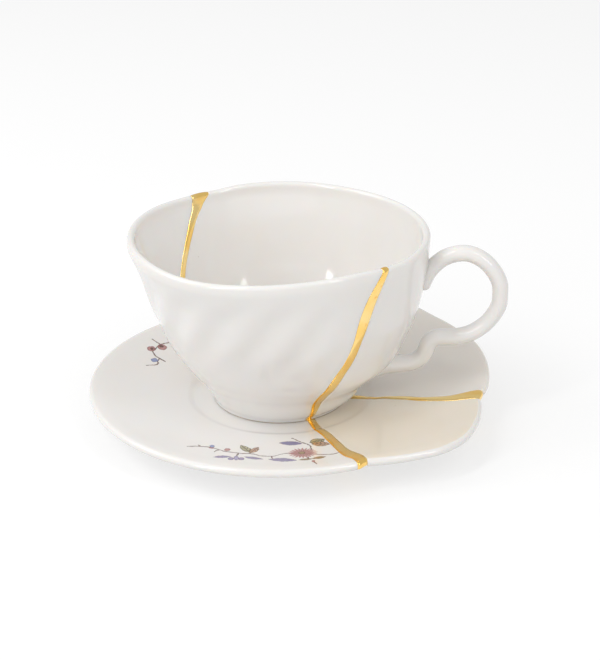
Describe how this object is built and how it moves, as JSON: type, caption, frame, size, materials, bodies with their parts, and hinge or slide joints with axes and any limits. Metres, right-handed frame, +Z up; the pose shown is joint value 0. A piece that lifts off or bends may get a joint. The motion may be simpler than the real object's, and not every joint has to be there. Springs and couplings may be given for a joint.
{
  "type": "cup and saucer",
  "caption": "Footed tea cup with a loop handle on a dished saucer, both pieced together from unlike porcelain shards with gold seams; part of the cup has swirling flutes.",
  "frame": {"origin": "centre of the bounding box at the plane the saucer's foot ring stands on", "axes": "+Z up, +X through the cup's handle, -Y towards the painted front of the saucer"},
  "size_m": [0.1554, 0.1486, 0.0745],
  "materials": {
    "white_glaze": "glossy transparent glaze over white porcelain",
    "cream_glaze": "glossy cream glaze on top, white below",
    "gold": "polished gold, softly uneven"
  },
  "bodies": {
    "root": {"cup_fluted_shard": "white_glaze", "cup_plain_shard": "white_glaze", "cup_gold_seam": "gold", "saucer_flowered_shard": "white_glaze", "saucer_cream_shard": "cream_glaze", "saucer_plain_shard": "white_glaze", "saucer_gold_seam": "gold"}
  },
  "joints": []
}
